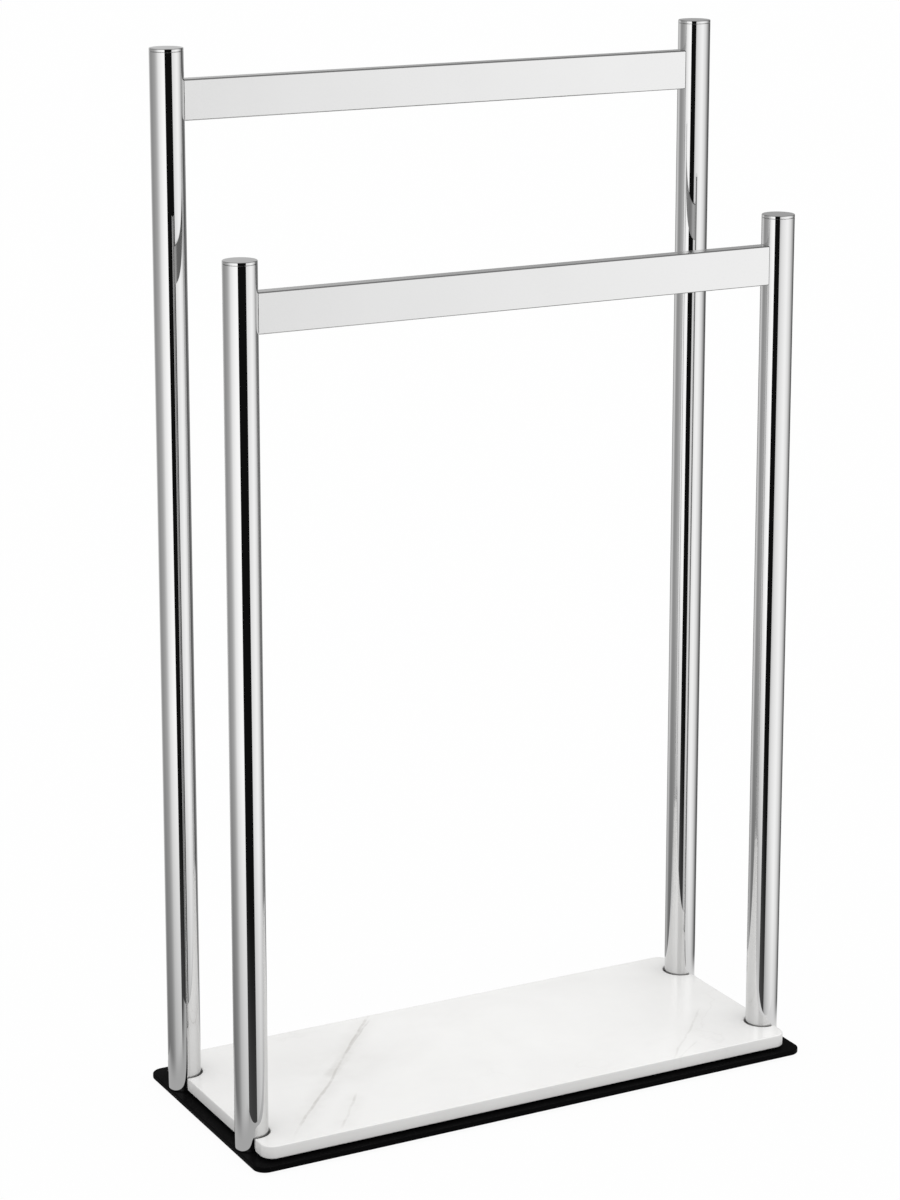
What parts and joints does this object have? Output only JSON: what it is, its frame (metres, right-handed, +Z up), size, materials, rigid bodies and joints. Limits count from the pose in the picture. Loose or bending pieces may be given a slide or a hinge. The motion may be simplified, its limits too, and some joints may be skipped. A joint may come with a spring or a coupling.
{
  "type": "towel stand",
  "caption": "Free-standing towel stand: chrome posts in two heights joined in pairs by flat rails, on a marble slab set in a thin black steel base.",
  "frame": {"origin": "middle of the base, on the floor under the feet", "axes": "+X along the rails to the right seen from the low front rail, +Y from the low front rail to the tall rear rail, +Z up along the posts"},
  "size_m": [0.472, 0.203, 0.803],
  "materials": {
    "polished_chrome": "polished",
    "black_powder_coat": "satin",
    "white_marble": "honed",
    "zinc_plated_steel": "satin",
    "black_rubber": "matte"
  },
  "bodies": {
    "root": {"base_plate": "black_powder_coat", "marble_slab": "white_marble", "rear_left_post": "polished_chrome", "rear_left_cap": "polished_chrome", "rear_right_post": "polished_chrome", "rear_right_cap": "polished_chrome", "front_left_post": "polished_chrome", "front_left_cap": "polished_chrome", "front_right_post": "polished_chrome", "front_right_cap": "polished_chrome", "rear_towel_bar": "polished_chrome", "front_towel_bar": "polished_chrome", "rear_left_bar_plug": "zinc_plated_steel", "rear_left_bar_screw": "zinc_plated_steel", "rear_left_foot_insert": "zinc_plated_steel", "rear_left_base_screw": "zinc_plated_steel", "rear_right_bar_plug": "zinc_plated_steel", "rear_right_bar_screw": "zinc_plated_steel", "rear_right_foot_insert": "zinc_plated_steel", "rear_right_base_screw": "zinc_plated_steel", "front_left_bar_plug": "zinc_plated_steel", "front_left_bar_screw": "zinc_plated_steel", "front_left_foot_insert": "zinc_plated_steel", "front_left_base_screw": "zinc_plated_steel", "front_right_bar_plug": "zinc_plated_steel", "front_right_bar_screw": "zinc_plated_steel", "front_right_foot_insert": "zinc_plated_steel", "front_right_base_screw": "zinc_plated_steel", "rear_left_foot": "black_rubber", "rear_middle_foot": "black_rubber", "rear_right_foot": "black_rubber", "front_left_foot": "black_rubber", "front_middle_foot": "black_rubber", "front_right_foot": "black_rubber", "rear_left_slab_pad": "black_rubber", "rear_right_slab_pad": "black_rubber", "front_left_slab_pad": "black_rubber", "front_right_slab_pad": "black_rubber"}
  },
  "joints": []
}
